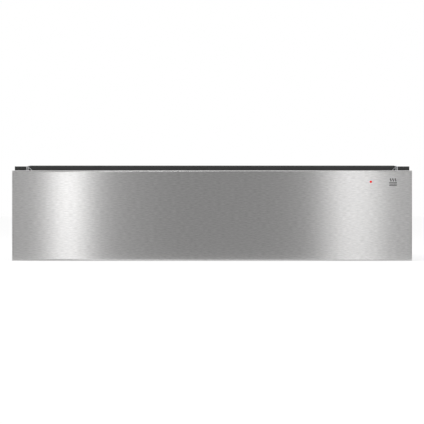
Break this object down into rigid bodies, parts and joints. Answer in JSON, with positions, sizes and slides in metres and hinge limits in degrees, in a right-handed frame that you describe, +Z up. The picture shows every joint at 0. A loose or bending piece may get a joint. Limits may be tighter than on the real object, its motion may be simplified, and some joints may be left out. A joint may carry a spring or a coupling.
{
  "type": "built-in warming drawer",
  "caption": "Handleless push-to-open warming drawer for a kitchen niche: brushed steel front, stainless tray on ball runners, floor and fan heating, knob and switch in the rim.",
  "frame": {"origin": "on the floor of the niche, under the middle of the overall box", "axes": "+X to the right seen from the front, +Y to the back, +Z up; the drawer opens along -Y"},
  "size_m": [0.595, 0.55, 0.1425],
  "materials": {
    "brushed_front": "brushed along its width, fingerprint-proof",
    "stainless": "fine satin, drawn",
    "zinc_steel": "hot-dip galvanised, faint spangle",
    "runner_steel": "bright zinc plated",
    "fastener_steel": "zinc plated",
    "ball_steel": "polished",
    "laminations": "stacked electrical sheet",
    "black_coat": "satin powder coat",
    "rubber": "matt, fine grain",
    "black_plastic": "fine eroded texture",
    "grey_plastic": "fine eroded texture",
    "pale_plastic": "moulded",
    "lead_sheath": "smooth flexible sheath",
    "heater_sheath": "annealed dark steel tube",
    "aluminium": "stamped",
    "copper_wire": "enamelled winding",
    "insulation": "needled fibre",
    "red_lens": "clear red, lit",
    "circuit_board": "solder resist"
  },
  "bodies": {
    "case": {"cabinet_runner_left": "runner_steel", "cabinet_runner_right": "runner_steel", "cable_gland": "black_plastic", "case_back": "zinc_steel", "case_base": "zinc_steel", "case_rivets": "fastener_steel", "case_screws": "fastener_steel", "case_side_left": "zinc_steel", "case_side_right": "zinc_steel", "case_top": "zinc_steel", "corner_gussets": "zinc_steel", "flange_buffers": "rubber", "glide_feet": "black_plastic", "latch_housing": "black_plastic", "latch_spring": "ball_steel", "lead_clips": "black_plastic", "mounting_flange_left": "black_coat", "mounting_flange_right": "black_coat", "supply_lead": "lead_sheath", "terminal_block": "pale_plastic", "terminal_cover": "black_plastic", "top_front_rail": "black_coat"},
    "drawer": {"front_panel": "brushed_front", "front_liner": "black_plastic", "front_brackets": "zinc_steel", "indicator_lens": "red_lens", "lamp_board": "circuit_board", "drawer_chassis": "zinc_steel", "drawer_runner_left": "runner_steel", "drawer_runner_right": "runner_steel", "drawer_screws": "fastener_steel", "tray": "stainless", "anti_slip_mat": "rubber", "floor_heater": "heater_sheath", "heater_clips": "zinc_steel", "insulation_pad": "insulation", "fan_cover": "stainless", "fan_housing": "zinc_steel", "ring_heater": "heater_sheath", "motor_core": "laminations", "motor_coil": "copper_wire", "motor_brackets": "zinc_steel", "control_housing": "grey_plastic", "thermostat_body": "pale_plastic", "switch_body": "black_plastic", "wiring_loom": "lead_sheath", "striker_plate": "zinc_steel"},
    "middle_left": {"middle_runner_left": "runner_steel"},
    "middle_right": {"middle_runner_right": "runner_steel"},
    "outer_cage_left": {"outer_ball_cage_left": "ball_steel"},
    "outer_cage_right": {"outer_ball_cage_right": "ball_steel"},
    "inner_cage_left": {"inner_ball_cage_left": "ball_steel"},
    "inner_cage_right": {"inner_ball_cage_right": "ball_steel"},
    "plunger": {"latch_plunger": "pale_plastic"},
    "fan": {"impeller": "aluminium", "motor_rotor": "laminations"},
    "knob": {"thermostat_knob": "black_plastic", "thermostat_spindle": "ball_steel"},
    "rocker": {"rocker_key": "black_plastic"}
  },
  "joints": [
    {"name": "drawer_slide", "type": "slide", "parent": "case", "child": "drawer", "axis": [0, -1, 0], "range_m": [-0.0025, 0.42], "deforming": ["supply_lead"]},
    {"name": "middle_slide_left", "type": "slide", "parent": "case", "child": "middle_left", "axis": [0, -1, 0], "range_m": [-0.00125, 0.21]},
    {"name": "middle_slide_right", "type": "slide", "parent": "case", "child": "middle_right", "axis": [0, -1, 0], "range_m": [-0.00125, 0.21]},
    {"name": "outer_cage_slide_left", "type": "slide", "parent": "case", "child": "outer_cage_left", "axis": [0, -1, 0], "range_m": [-0.00063, 0.105]},
    {"name": "outer_cage_slide_right", "type": "slide", "parent": "case", "child": "outer_cage_right", "axis": [0, -1, 0], "range_m": [-0.00063, 0.105]},
    {"name": "inner_cage_slide_left", "type": "slide", "parent": "case", "child": "inner_cage_left", "axis": [0, -1, 0], "range_m": [-0.00187, 0.315]},
    {"name": "inner_cage_slide_right", "type": "slide", "parent": "case", "child": "inner_cage_right", "axis": [0, -1, 0], "range_m": [-0.00187, 0.315]},
    {"name": "latch_press", "type": "slide", "parent": "case", "child": "plunger", "axis": [0, 1, 0], "range_m": [0, 0.004], "stiffness_N_per_m": 600, "springref_m": -0.006, "deforming": ["latch_spring"]},
    {"name": "fan_spin", "type": "hinge", "parent": "drawer", "child": "fan", "pos_m": [0, 0.157, 0.0865], "axis": [0, 1, 0], "continuous": true},
    {"name": "knob_turn", "type": "hinge", "parent": "drawer", "child": "knob", "pos_m": [0.2475, -0.135, 0.11], "axis": [0, 0, 1], "range_deg": [-270, 0]},
    {"name": "rocker_tilt", "type": "hinge", "parent": "drawer", "child": "rocker", "pos_m": [0.2475, -0.2, 0.1105], "axis": [1, 0, 0], "range_deg": [-14, 0]}
  ],
  "couplings": [
    {"joint": "middle_slide_left", "follows": "drawer_slide", "ratio": 0.5},
    {"joint": "middle_slide_right", "follows": "drawer_slide", "ratio": 0.5},
    {"joint": "outer_cage_slide_left", "follows": "drawer_slide", "ratio": 0.25},
    {"joint": "outer_cage_slide_right", "follows": "drawer_slide", "ratio": 0.25},
    {"joint": "inner_cage_slide_left", "follows": "drawer_slide", "ratio": 0.75},
    {"joint": "inner_cage_slide_right", "follows": "drawer_slide", "ratio": 0.75}
  ]
}
